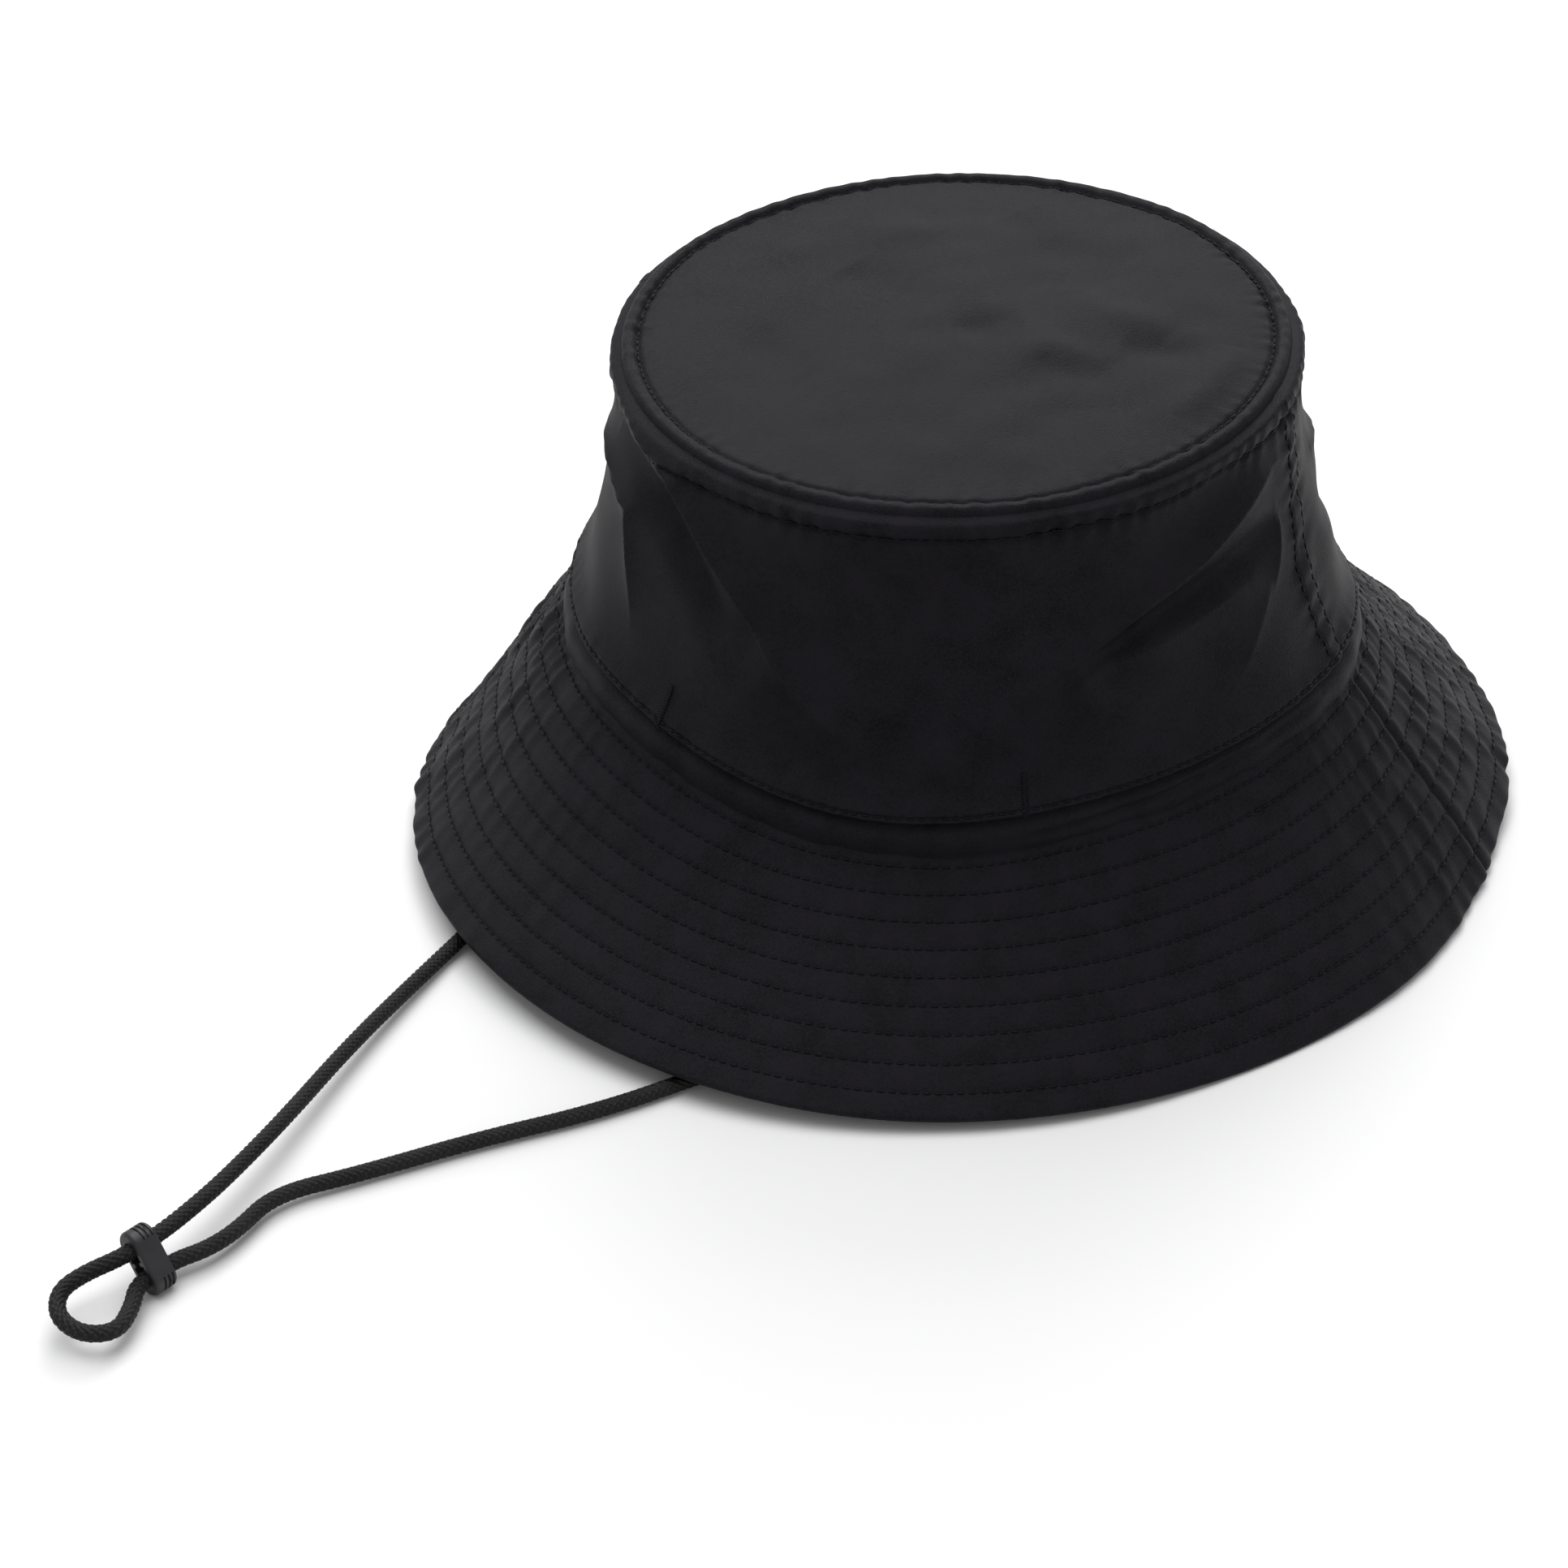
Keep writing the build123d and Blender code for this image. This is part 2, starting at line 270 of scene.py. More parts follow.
def loop_of(outer, inner):
    """Rows of a closed skin: the outer face, then back along the inner face."""
    return np.concatenate([outer, inner[::-1]], axis=0)


def skin(name, rows, material, closed=True, flat=False):
    """A closed solid whose section is a loop of rows. Its columns close on themselves or are capped.

    A flat skin takes its cloth's grain straight across, from x and y, and its middle is welded.
    """
    count, across = rows.shape[:2]
    index = np.arange(count * across).reshape(count, across)
    r = np.arange(count)
    c = np.arange(across if closed else across - 1)
    rr, cc = np.meshgrid(r, c, indexing="ij")
    below, right = (rr + 1) % count, (cc + 1) % across
    quads = np.stack([index[rr, cc], index[rr, right], index[below, right], index[below, cc]], -1)
    ring = np.concatenate([rows, rows[:, :1]], axis=1) if closed else rows
    around_lengths = np.linalg.norm(np.diff(ring, axis=1), axis=-1).mean(0)
    u = np.concatenate([[0], np.cumsum(around_lengths)])
    loop = np.concatenate([rows, rows[:1]], axis=0)
    v = np.concatenate([[0], np.cumsum(np.linalg.norm(np.diff(loop, axis=0), axis=-1).mean(1))])
    corners = [(cc, rr), (cc + 1, rr), (cc + 1, rr + 1), (cc, rr + 1)]
    uvs = np.stack([np.stack([u[a], v[b]], -1) for a, b in corners], axis=2)
    quads, uvs = quads.reshape(-1, 4), uvs.reshape(-1, 4, 2)
    if flat:
        uvs = rows.reshape(-1, 3)[quads][..., :2]
    if not closed:
        half = count // 2
        k = np.arange(half - 1)
        for column, flip in ((0, False), (across - 1, True)):
            cap = np.stack([index[k, column], index[k + 1, column],
                            index[count - 2 - k, column], index[count - 1 - k, column]], -1)
            quads = np.concatenate([quads, cap[:, ::-1] if flip else cap])
            uvs = np.concatenate([uvs, np.zeros((half - 1, 4, 2))])
    thing = mesh_object(name, rows, quads, uvs, material)
    if flat:
        welded = bmesh.new()
        welded.from_mesh(thing.data)
        bmesh.ops.remove_doubles(welded, verts=welded.verts, dist=0.001 * MM)
        welded.to_mesh(thing.data)
        welded.free()
    return thing


def cloth_solid(name, outer, thickness, material, closed=True):
    """A sheet of cloth with thickness, from the grid of its outer face."""
    inner = outer - normals_of(outer, closed) * thickness
    return skin(name, loop_of(outer, inner), material, closed)


def sample(grid, row, column, closed=True):
    """Points between the grid's own, at fractional rows and columns."""
    rows, across = grid.shape[:2]
    row = np.clip(row, 0, rows - 1.001)
    r = np.floor(row).astype(int)
    c = np.floor(column).astype(int)
    a, b = (row - r)[..., None], (column - c)[..., None]
    c0, c1 = (c % across, (c + 1) % across) if closed else (c, np.minimum(c + 1, across - 1))
    top = grid[r, c0] * (1 - b) + grid[r, c1] * b
    bottom = grid[r + 1, c0] * (1 - b) + grid[r + 1, c1] * b
    return top * (1 - a) + bottom * a


stitches = []


def sew(grid, row, column, pitch=stitch_pitch, length=stitch_length, closed=True):
    """A row of stitches on a grid's face, along a line of fractional rows and columns."""
    points = sample(grid, row, column, closed)
    normals = sample(normals_of(grid, closed), row, column, closed)
    place = np.concatenate([[0], np.cumsum(np.linalg.norm(np.diff(points, axis=0), axis=1))])
    count = int(place[-1] / pitch)
    starts = (np.arange(count) + 0.12) * place[-1] / count + seed.uniform(-0.08, 0.08, count) * pitch
    shares = np.array([0.0, 0.12, 0.5, 0.88, 1.0])
    sunk = np.array([-1.3, 0.35, 0.75, 0.35, -1.3]) * thread_radius
    size = np.array([0.5, 0.95, 1.0, 0.95, 0.5]) * thread_radius
    at = starts[:, None] + shares * length
    middle = np.stack([np.interp(at, place, points[:, k]) for k in range(3)], -1)
    up = np.stack([np.interp(at, place, normals[:, k]) for k in range(3)], -1)
    up /= np.linalg.norm(up, axis=-1, keepdims=True)
    middle = middle + up * sunk[None, :, None]
    along = middle[:, -1] - middle[:, 0]
    along /= np.linalg.norm(along, axis=-1, keepdims=True)
    side = np.cross(along[:, None], up)
    sides = 6
    turn = np.arange(sides) * 2 * np.pi / sides
    rings = (middle[:, :, None] + size[None, :, None, None] * (
        np.cos(turn)[None, None, :, None] * side[:, :, None]
        + np.sin(turn)[None, None, :, None] * up[:, :, None]))
    stitches.append(rings)


def thread_object(name, material):
    """All the stitches sewn so far, as one object of capped threads."""
    rings = np.concatenate(stitches, axis=0)
    stitches.clear()
    count, steps, sides = rings.shape[:3]
    index = np.arange(count * steps * sides).reshape(count, steps, sides)
    after = np.roll(index, -1, axis=2)
    body = np.stack([index[:, :-1], after[:, :-1], after[:, 1:], index[:, 1:]], -1).reshape(-1, 4)
    ends = np.concatenate([index[:, 0, ::-1], index[:, -1]]).tolist()
    mesh = bpy.data.meshes.new(name)
    mesh.from_pydata(rings.reshape(-1, 3).tolist(), [], body.tolist() + ends)
    mesh.polygons.foreach_set("use_smooth", np.ones(len(mesh.polygons), bool))
    mesh.materials.append(material)
    thing = bpy.data.objects.new(name, mesh)
    bpy.context.scene.collection.objects.link(thing)
    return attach(thing, "hat")


# ---------------------------------------------------------------- materials


def new_material(name, colour, roughness, **sockets):
    """A new material, its nodes and links, and its Principled shader."""
    material = bpy.data.materials.new(name)
    material.use_nodes = True
    nodes, links = material.node_tree.nodes, material.node_tree.links
    shader = nodes["Principled BSDF"]
    shader.inputs["Base Color"].default_value = (*colour, 1)
    shader.inputs["Roughness"].default_value = roughness
    for socket, value in sockets.items():
        shader.inputs[socket.replace("_", " ")].default_value = value
    return material, nodes, links, shader


def noise(nodes, links, vector, scale, detail):
    """A noise texture's factor at a scale."""
    node = nodes.new("ShaderNodeTexNoise")
    node.inputs["Scale"].default_value = scale
    node.inputs["Detail"].default_value = detail
    links.new(vector, node.inputs["Vector"])
    return node.outputs["Fac"]


def math_node(nodes, links, operation, first, second):
    """A maths node on two inputs, each a socket or a number."""
    node = nodes.new("ShaderNodeMath")
    node.operation = operation
    for socket, value in zip(node.inputs, (first, second)):
        if isinstance(value, (int, float)):
            socket.default_value = value
        else:
            links.new(value, socket)
    return node.outputs[0]


def colour_between(nodes, links, factor, low, high, dark, light):
    """A ramp from dark to light as the factor goes from low to high."""
    node = nodes.new("ShaderNodeValToRGB")
    node.color_ramp.elements[0].position = low
    node.color_ramp.elements[0].color = (*dark, 1)
    node.color_ramp.elements[1].position = high
    node.color_ramp.elements[1].color = (*light, 1)
    links.new(factor, node.inputs["Fac"])
    return node.outputs["Color"]


def add_bump(nodes, links, shader, height, distance, strength=1.0, before=None):
    """A bump of a given depth in metres, on top of an earlier one."""
    node = nodes.new("ShaderNodeBump")
    node.inputs["Distance"].default_value = distance
    node.inputs["Strength"].default_value = strength
    links.new(height, node.inputs["Height"])
    if before is not None:
        links.new(before, node.inputs["Normal"])
    links.new(node.outputs["Normal"], shader.inputs["Normal"])
    return node.outputs["Normal"]


def woven(name, dark, light, roughness, pitch, diagonal, depth, gloss):
    """Cloth: fine ribs at a pitch in the cloth's own UV metres, with yarn and wear variation."""
    material, nodes, links, shader = new_material(name, dark, roughness, Specular_IOR_Level=gloss)
    place = nodes.new("ShaderNodeUVMap").outputs["UV"]
    parts = nodes.new("ShaderNodeSeparateXYZ")
    links.new(place, parts.inputs[0])
    ribs = math_node(nodes, links, "MULTIPLY_ADD", parts.outputs["X"], diagonal)
    links.new(parts.outputs["Y"], ribs.node.inputs[2])
    ribs = math_node(nodes, links, "MULTIPLY", ribs, 2 * math.pi / pitch)
    ribs = math_node(nodes, links, "SINE", ribs, 0.0)
    place_in_space = nodes.new("ShaderNodeTexCoord").outputs["Object"]
    yarn = noise(nodes, links, place_in_space, 1 / (0.55 * MM), 4.0)
    patches = noise(nodes, links, place_in_space, 1 / (9 * MM), 5.0)
    grain = math_node(nodes, links, "MULTIPLY_ADD", ribs, 0.08)
    links.new(yarn, grain.node.inputs[2])
    mixed = math_node(nodes, links, "MULTIPLY_ADD", patches, 0.8)
    links.new(grain, mixed.node.inputs[2])
    colour = colour_between(nodes, links, mixed, 0.6, 1.2, dark, light)
    links.new(colour, shader.inputs["Base Color"])
    shine = nodes.new("ShaderNodeMapRange")
    shine.inputs["To Min"].default_value = roughness - 0.08
    shine.inputs["To Max"].default_value = roughness + 0.08
    links.new(patches, shine.inputs["Value"])
    links.new(shine.outputs["Result"], shader.inputs["Roughness"])
    first = add_bump(nodes, links, shader, ribs, depth, 0.7)
    add_bump(nodes, links, shader, yarn, depth * 4, 1.0, first)
    return material


def moulded(name, colour, roughness):
    """Matt moulded plastic: fine spark texture and faint flow marks."""
    material, nodes, links, shader = new_material(name, colour, roughness, Specular_IOR_Level=0.45)
    place = nodes.new("ShaderNodeTexCoord").outputs["Object"]
    spark = noise(nodes, links, place, 1 / (0.35 * MM), 3.0)
    flow = noise(nodes, links, place, 1 / (6 * MM), 2.0)
    lighter = tuple(1.6 * c for c in colour)
    mottled = colour_between(nodes, links, flow, 0.35, 0.7, colour, lighter)
    links.new(mottled, shader.inputs["Base Color"])
    add_bump(nodes, links, shader, spark, 0.06 * MM, 0.7)
    return material


shell_cloth = woven("shell_cloth", (0.0030, 0.0027, 0.0038), (0.0100, 0.0088, 0.0118), 0.48,
                    0.42 * MM, 1.0, 0.05 * MM, 0.075)
tape_cloth = woven("tape_cloth", (0.004, 0.004, 0.0045), (0.012, 0.012, 0.013), 0.6,
                   0.9 * MM, 0.0, 0.12 * MM, 0.12)
thread_material = woven("thread_material", (0.0015, 0.0016, 0.0024), (0.005, 0.0054, 0.008), 0.42,
                        0.2 * MM, 0.5, 0.02 * MM, 0.10)
cord_material = woven("cord_material", (0.0015, 0.0017, 0.0016), (0.010, 0.0105, 0.0097), 0.40,
                      0.18 * MM, 1.0, 0.02 * MM, 0.2)
lock_material = moulded("lock_material", (0.010, 0.0098, 0.012), 0.5)

# ---------------------------------------------------------------- crown side

side_rows = 120
even = np.linspace(0, 1, side_rows)
shares = (even - 0.11 * np.sin(2 * np.pi * even))[:, None]  # closer together at both edges
side_round = 2 * np.pi * side_radius
rim_swell_angle = 162  # the rolled rim stands out most here
side_x = angles[None, :] / 360 * side_round
side_y = shares * wall_length(angles)[None, :]


def rim_puff(angle):
    """How far the top seam's rolled allowances stand out past the plain crown."""
    return (1.2 + 1.9 * bump(turn_from(rim_swell_angle, angle), 42)) * MM


def on_side(*points):
    """Points on the crown's side, given as degrees and shares, on the unrolled side in metres."""
    return [(angle / 360 * side_round, share * side_height) for angle, share in points]


# Ridges and valleys of the crumpled side: line, height and width in millimetres, sharp crest or not
side_folds = [
    (on_side((205, 0.9), (235, 0.8), (250, 0.6), (265, 0.3)), 4.2, 4.5, True),
    (on_side((255, 0.5), (270, 0.25)), 1.8, 3.5, True),
    (on_side((195, 0.6), (225, 0.55), (230, 0.2)), 3.2, 3.5, True),
    (on_side((210, 0.75), (235, 0.65), (250, 0.4)), -4.2, 6.0, False),
    (on_side((250, 0.4), (260, 0.65)), -1.2, 5.0, False),
    (on_side((255, 0.3), (265, 0.1)), -1.3, 5.0, False),
    (on_side((350, 0.8), (315, 0.6), (295, 0.4), (290, 0.2)), 3.8, 4.0, True),
    (on_side((340, 0.5), (310, 0.45), (295, 0.3)), 2.0, 3.0, True),
    (on_side((350, 0.6), (320, 0.55), (305, 0.45)), -3.8, 4.5, False),
    (on_side((345, 0.85), (315, 0.75)), -1.6, 7.0, False),
    (on_side((280, 0.35), (275, 0.1)), -1.6, 5.0, False),
    (on_side((285, 0.3), (285, 0.15)), 1.0, 3.0, False),
    (on_side((350, 0.6), (345, 0.4)), 1.8, 2.0, True),
    (on_side((345, 0.45), (335, 0.2)), 1.2, 3.5, True),
    (on_side((10, 0.6), (40, 0.55)), 2.4, 4.0, True),
    (on_side((10, 0.4), (45, 0.35)), -2.4, 5.0, False),
    (on_side((60, 0.8), (80, 0.4)), 2.4, 4.5, True),
    (on_side((65, 0.75), (90, 0.4)), -2.0, 5.5, False),
    (on_side((110, 0.3), (145, 0.6)), 2.4, 4.0, True),
    (on_side((115, 0.2), (150, 0.45)), -2.0, 5.0, False),
    (on_side((165, 0.65), (190, 0.4)), 2.2, 3.5, True),
    (on_side((170, 0.3), (200, 0.35)), -1.8, 5.0, False),
]


def seam_line(share):
    """Degrees from the ear of the side seam, which wanders a little."""
    return 1.0 * np.sin(4.2 * share - 0.6) - 2.0 * bump(share - 0.33, 0.16) - 4.0


def side_relief():
    """How far the crown's side stands proud of its plain shape."""
    soft = 0.6 * MM * waves(side_x, side_y, 9, 110 * MM, 32 * MM, side_round)
    relief = soft + 0.14 * MM * waves(side_x, side_y, 20, 30 * MM, 12 * MM, side_round)
    for line, height, width, sharp in side_folds:
        relief = relief + fold(side_x, side_y, line, height * MM, width * MM, sharp)
    quiet = np.clip(shares / 0.12, 0, 1) * np.clip((1 - shares) / 0.14, 0, 1)
    relief = relief * quiet**0.8
    from_top = (1 - shares) * wall_length(angles)[None, :]
    puff = np.sin(np.pi * np.clip(from_top / side_seam_margin, 0, 1)) ** 0.6
    relief = relief + seam_puff * puff - 0.6 * MM * bump(from_top - side_seam_margin, 0.7 * MM)
    ripple = waves(side_x, side_y * 0.15, 12, 9 * MM, 4 * MM, side_round)
    relief = relief + 0.32 * MM * ripple * bump(from_top - side_seam_margin, 3.5 * MM)
    relief = relief + 0.12 * MM * ripple * bump(side_y, 4 * MM)
    relief = relief - 0.4 * MM * bump(side_y - base_stitch_rise, 0.5 * MM)
    for ear in ears:
        offset = np.radians(turn_from(ear + seam_line(shares), angles[None, :])) * side_seam_radius
        strip = 1 / (1 + np.exp((np.abs(offset) - felled_width / 2) / (0.25 * MM)))
        puckers = waves(offset * 0.3, side_y, 10, 9 * MM, 4 * MM) * bump(offset, 7 * MM)
        relief = relief + (0.35 * strip + 0.3 * puckers) * MM
        relief = relief - 0.35 * MM * bump(np.abs(offset) - felled_stitch, 0.5 * MM)
    relief = relief + rim_puff(angles)[None, :] * bump(from_top, 11 * MM)
    tuck = bump(from_top, 1.1 * MM) * 2.9 * MM + bump(side_y, 0.5 * MM) * 1.0 * MM
    return relief - tuck + 1.7 * MM * bump(side_y, 5 * MM)


side_grid = raised(turned(angles[None, :], wall_point(angles[None, :], shares)), side_relief())
crown_side = cloth_solid("crown_side_cloth", side_grid, cloth_thickness, shell_cloth)
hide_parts("crown_side_front", "crown_side_back")
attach(crown_side, "hat")


def row_at(value, values):
    """The fractional row of a grid where its row values reach a value."""
    return np.interp(value, values[:, 0], np.arange(len(values)))


whole_round = np.linspace(0, columns, columns + 1)
closing = np.arange(columns + 1) % columns
sew(side_grid, row_at(1 - side_seam_margin / wall_length(angles), shares)[closing], whole_round)
sew(side_grid, row_at(base_stitch_rise / wall_length(angles), shares)[closing], whole_round)
seam_shares = np.linspace(0.04, 0.93, 200)  # from just above the band to just below the top seam
for ear in ears:
    for side in (-1, 1):
        edge = np.degrees(side * felled_stitch / side_seam_radius)
        column = (ear + seam_line(seam_shares) + edge) / 360 * columns % columns
        sew(side_grid, row_at(seam_shares, shares), column)

# ---------------------------------------------------------------- crown top

top_rows = 110
rim_radius = crown_top_radius + rim_puff(angles)[None, :] - 0.6 * MM
even = np.linspace(0, 1, top_rows)
top_shares = (even * (1.6 - 0.6 * even))[:, None]  # closer together at the rim
reach = top_shares * rim_radius
top_x = reach * np.cos(np.radians(angles))[None, :]
top_y = reach * np.sin(np.radians(angles))[None, :]

# Soft hollows and swells of the top: line from its middle, height and width, in millimetres
top_folds = [
    ([(-35, 20), (-15, 10)], -1.5, 8.0),
    ([(-40, 35), (-10, 45)], 1.3, 8.0),
    ([(0, -5), (15, 5)], -1.7, 6.0),
    ([(15, -10), (25, -5), (40, -10)], 1.3, 5.5),
    ([(20, 20), (50, 10)], 1.1, 6.0),
    ([(40, 0), (60, 5)], -1.5, 5.5),
    ([(20, -30), (45, -20)], 0.9, 6.0),
    ([(-5, 55), (30, 35)], -1.2, 8.0),
    ([(60, -25), (65, -10), (65, 10)], 1.2, 5.0),
    ([(-55, -10), (-25, -30)], -0.8, 9.0),
    ([(-60, 10), (-50, 35)], 0.9, 7.0),
]


def top_surface():
    """The crown's top, a sloping shallow dome with soft hollows and a puffed sewn rim."""
    share = reach / rim_radius
    height = crown_dome * (1 - share**2)
    height = height + 0.55 * MM * waves(top_x, top_y, 9, 80 * MM, 30 * MM) * (1 - share**6)
    height = height + 0.14 * MM * waves(top_x, top_y, 20, 30 * MM, 13 * MM) * (1 - share**6)
    for line, tall, width in top_folds:
        line = [(x * MM, y * MM) for x, y in line]
        height = height + fold(top_x, top_y, line, tall * MM, width * MM) * (1 - share**8)
    from_rim = rim_radius - reach
    height = height + seam_puff * np.sin(np.pi * np.clip(from_rim / top_seam_margin, 0, 1)) ** 0.6
    height = height - 0.75 * MM * bump(from_rim - top_seam_margin, 0.8 * MM)
    ripple = waves(side_x, from_rim * 0.15, 12, 9 * MM, 4 * MM, side_round)
    height = height + 0.2 * MM * ripple * bump(from_rim - top_seam_margin, 3.5 * MM)
    height = height - 2.8 * MM * bump(from_rim, 1.1 * MM)
    x = top_x + crown_top_shift[0]
    y = top_y + crown_top_shift[1]
    z = top_height + crown_top_slope[0] * top_x + crown_top_slope[1] * top_y + height
    return np.stack([x, y, z], axis=-1)


top_grid = top_surface()
top_skin = loop_of(top_grid[::-1], top_grid[::-1] - (0, 0, cloth_thickness))
crown_top = skin("crown_top_cloth", top_skin, shell_cloth, flat=True)
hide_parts("crown_top")
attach(crown_top, "hat")
top_line = row_at(1 - top_seam_margin / rim_radius[0], top_shares)[closing]
sew(top_grid[::-1], top_rows - 1 - top_line, whole_round)

# ---------------------------------------------------------------- band

band_rows = 26
band_share = np.linspace(0, 1, band_rows)[:, None]
band_round = 2 * np.pi * band_radius
band_x = angles[None, :] / 360 * band_round

# A second fold low on the band, beside the right ear: degrees, and millimetres below the crown
band_fold = [(295, 4.5), (350, 2.5)]


def band_surface():
    """The band, a soft roll that tucks under the crown's edge and into the brim's seam."""
    radius = base_radius(angles)[None, :] + band_flare * band_share
    height = base_height(angles)[None, :] + 0.8 * MM - (band_height + 2.0 * MM) * band_share
    radius = radius + 0.9 * MM * np.sin(np.pi * np.clip(band_share / 0.86, 0, 1)) ** 0.8
    radius = radius - 1.1 * MM * bump(band_share, 0.22)
    radius = radius + 0.25 * MM * waves(band_x, band_share * 4 * MM, 12, 40 * MM, 9 * MM, band_round)
    line = [(angle / 360 * band_round, drop * MM) for angle, drop in band_fold]
    pinch = fold(band_x, band_share * band_height, line, -1.1 * MM, 0.8 * MM)
    return turned(angles[None, :], (radius + pinch, height))


band_grid = band_surface()[::-1]
band = cloth_solid("base_band_cloth", band_grid, cloth_thickness, shell_cloth)
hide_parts("base_band")
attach(band, "hat")

# ---------------------------------------------------------------- brim

brim_rows = 150
along = np.linspace(-1.2 * MM, brim_width - 0.6 * MM, brim_rows)[:, None]
brim_round = 2 * np.pi * brim_radius
brim_x = angles[None, :] / 360 * brim_round
quilt_lines = quilt_first + quilt_pitch * np.arange(quilt_rows)
face_depth = 0.72 * brim_thickness / 2  # of each face's stitching, from the brim's middle

# Where the brim puckers across its sewn rows: degrees round the hat, strength, degrees wide
brim_puckers = [(196, 0.95, 24), (150, 0.5, 20), (15, 0.8, 16), (48, 0.6, 18), (350, 0.5, 10)]
least_pucker = 0.16


def pucker_strength(angle):
    """How strongly the brim puckers: most beside the ears."""
    near = [size * bump(turn_from(middle, angle), width) for middle, size, width in brim_puckers]
    return least_pucker + sum(near)


def brim_relief(side):
    """Relief of the brim's top (side 1) or under (side -1) face, outward from its middle."""
    place = (along - quilt_first) / quilt_pitch
    inside_rows = (place > 0) & (place < quilt_rows - 1)
    between = np.where(inside_rows, place % 1.0, np.clip(place, -0.3, 0) % 1.0)
    outer = np.clip((along - quilt_lines[-1]) / (brim_width - quilt_lines[-1]), 0, 1)
    between = np.where(place >= quilt_rows - 1, outer * 0.9, between)
    relief = quilt_puff * np.sin(np.pi * between) ** 0.55
    strength = pucker_strength(angles)[None, :]
    fine = waves(brim_x, along * 0.22, 16, 8.5 * MM, 4.2 * MM, brim_round)
    broad = waves(brim_x, along * 0.5, 8, 22 * MM, 11 * MM, brim_round)
    relief = relief + side * (0.32 * fine + 0.24 * broad) * MM * strength
    relief = relief + side * 0.5 * MM * waves(brim_x, along, 7, 120 * MM, 45 * MM, brim_round)
    for ear in ears:
        offset = np.radians(turn_from(ear, angles[None, :])) * brim_seam_radius
        relief = relief + 0.45 * MM * bump(np.abs(offset) - 2.6 * MM, 1.8 * MM)
        relief = relief - 0.75 * MM * bump(offset, 0.55 * MM)
    return relief


def brim_section():
    """The brim's whole skin as a loop of rows: top face, rolled edge, under face."""
    radius, height = brim_point(angles[None, :], along)
    middle = turned(angles[None, :], (radius, height))
    up = normals_of(middle, True)
    if up[brim_rows // 2, 0, 2] < 0:
        up = -up
    core = middle - up * brim_thickness / 2
    before_waves = seed.bit_generator.state
    top = core + up * (face_depth + brim_relief(1)[..., None])
    seed.bit_generator.state = before_waves  # so that both faces take the same waves
    under = core - up * (face_depth + brim_relief(-1)[..., None])
    outward = core[-1] - core[-2]
    outward /= np.linalg.norm(outward, axis=-1, keepdims=True)
    reach_out = (top[-1] - under[-1]) / 2
    centre = (top[-1] + under[-1]) / 2
    edge_radius = np.linalg.norm(reach_out, axis=-1, keepdims=True)
    turns = np.radians([60, 30, 0, -30, -60])
    edge = np.stack([centre + reach_out * np.sin(t) + outward * edge_radius * np.cos(t) for t in turns])
    return top, edge, under


brim_top, brim_edge, brim_under = brim_section()
brim_rings = np.concatenate([brim_top, brim_edge, brim_under[::-1]], axis=0)[::-1]
brim = skin("brim_cloth", brim_rings, shell_cloth)
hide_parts("brim_top_front", "brim_top_back", "brim_under_front", "brim_under_back",
            "brim_interlining_front", "brim_interlining_back")
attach(brim, "hat")

for line in quilt_lines:
    start = seed.uniform(0, columns)
    row = np.full(columns + 1, (line - along[0, 0]) / (along[-1, 0] - along[0, 0]) * (brim_rows - 1))
    sew(brim_top[::-1], brim_rows - 1 - row, start + whole_round)
    sew(brim_under, row, start + whole_round)
thread_object("stitching", thread_material)

# ---------------------------------------------------------------- inside the crown

# Depths inside the crown's outer face
sweatband_inside = cloth_thickness + 0.9 * MM
adjuster_inside = 2.9 * MM
side_tape_inside = 3.4 * MM
top_tape_inside = 2.0 * MM
top_tape_drop = 2.3 * MM

# Where the strips run: degrees round the hat, and heights above the band
sweatband_ends = (-89.8, 269.8)
adjuster_ends = (238, 302.6)
side_tape_half_turn = 3.7
side_tape_foot = sweatband_rise + 0.6 * MM
side_tape_head = 62 * MM

# Mesh steps
strip_rows = 24
sweatband_steps = 721
adjuster_steps = 130
side_tape_steps = 16


def strip_grid(start, end, bottom, top, inside, steps):
    """A strip against the crown's inner face, between two heights above the band."""
    angle = np.linspace(start, end, steps)[None, :]
    rise = np.linspace(bottom, top, strip_rows)[:, None]
    radius = wall_point(angle, np.maximum(0, rise / wall_length(angle)), inside)[0]
    return turned(angle, (radius, base_height(angle) + rise))


def strip(name, node, start, end, bottom, top, inside, thickness, steps):
    """A woven strip inside the crown that stands for a CAD node."""
    grid = strip_grid(start, end, bottom, top, inside, steps)
    x = np.radians(np.linspace(start, end, steps))[None, :] * 90 * MM
    y = np.linspace(0, 1, strip_rows)[:, None] * 20 * MM
    grid = raised(grid, 0.15 * MM * waves(x, y, 8, 40 * MM, 8 * MM), False)
    piece = cloth_solid(name, grid, thickness, tape_cloth, closed=False)
    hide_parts(node)
    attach(piece, "hat")
    return grid


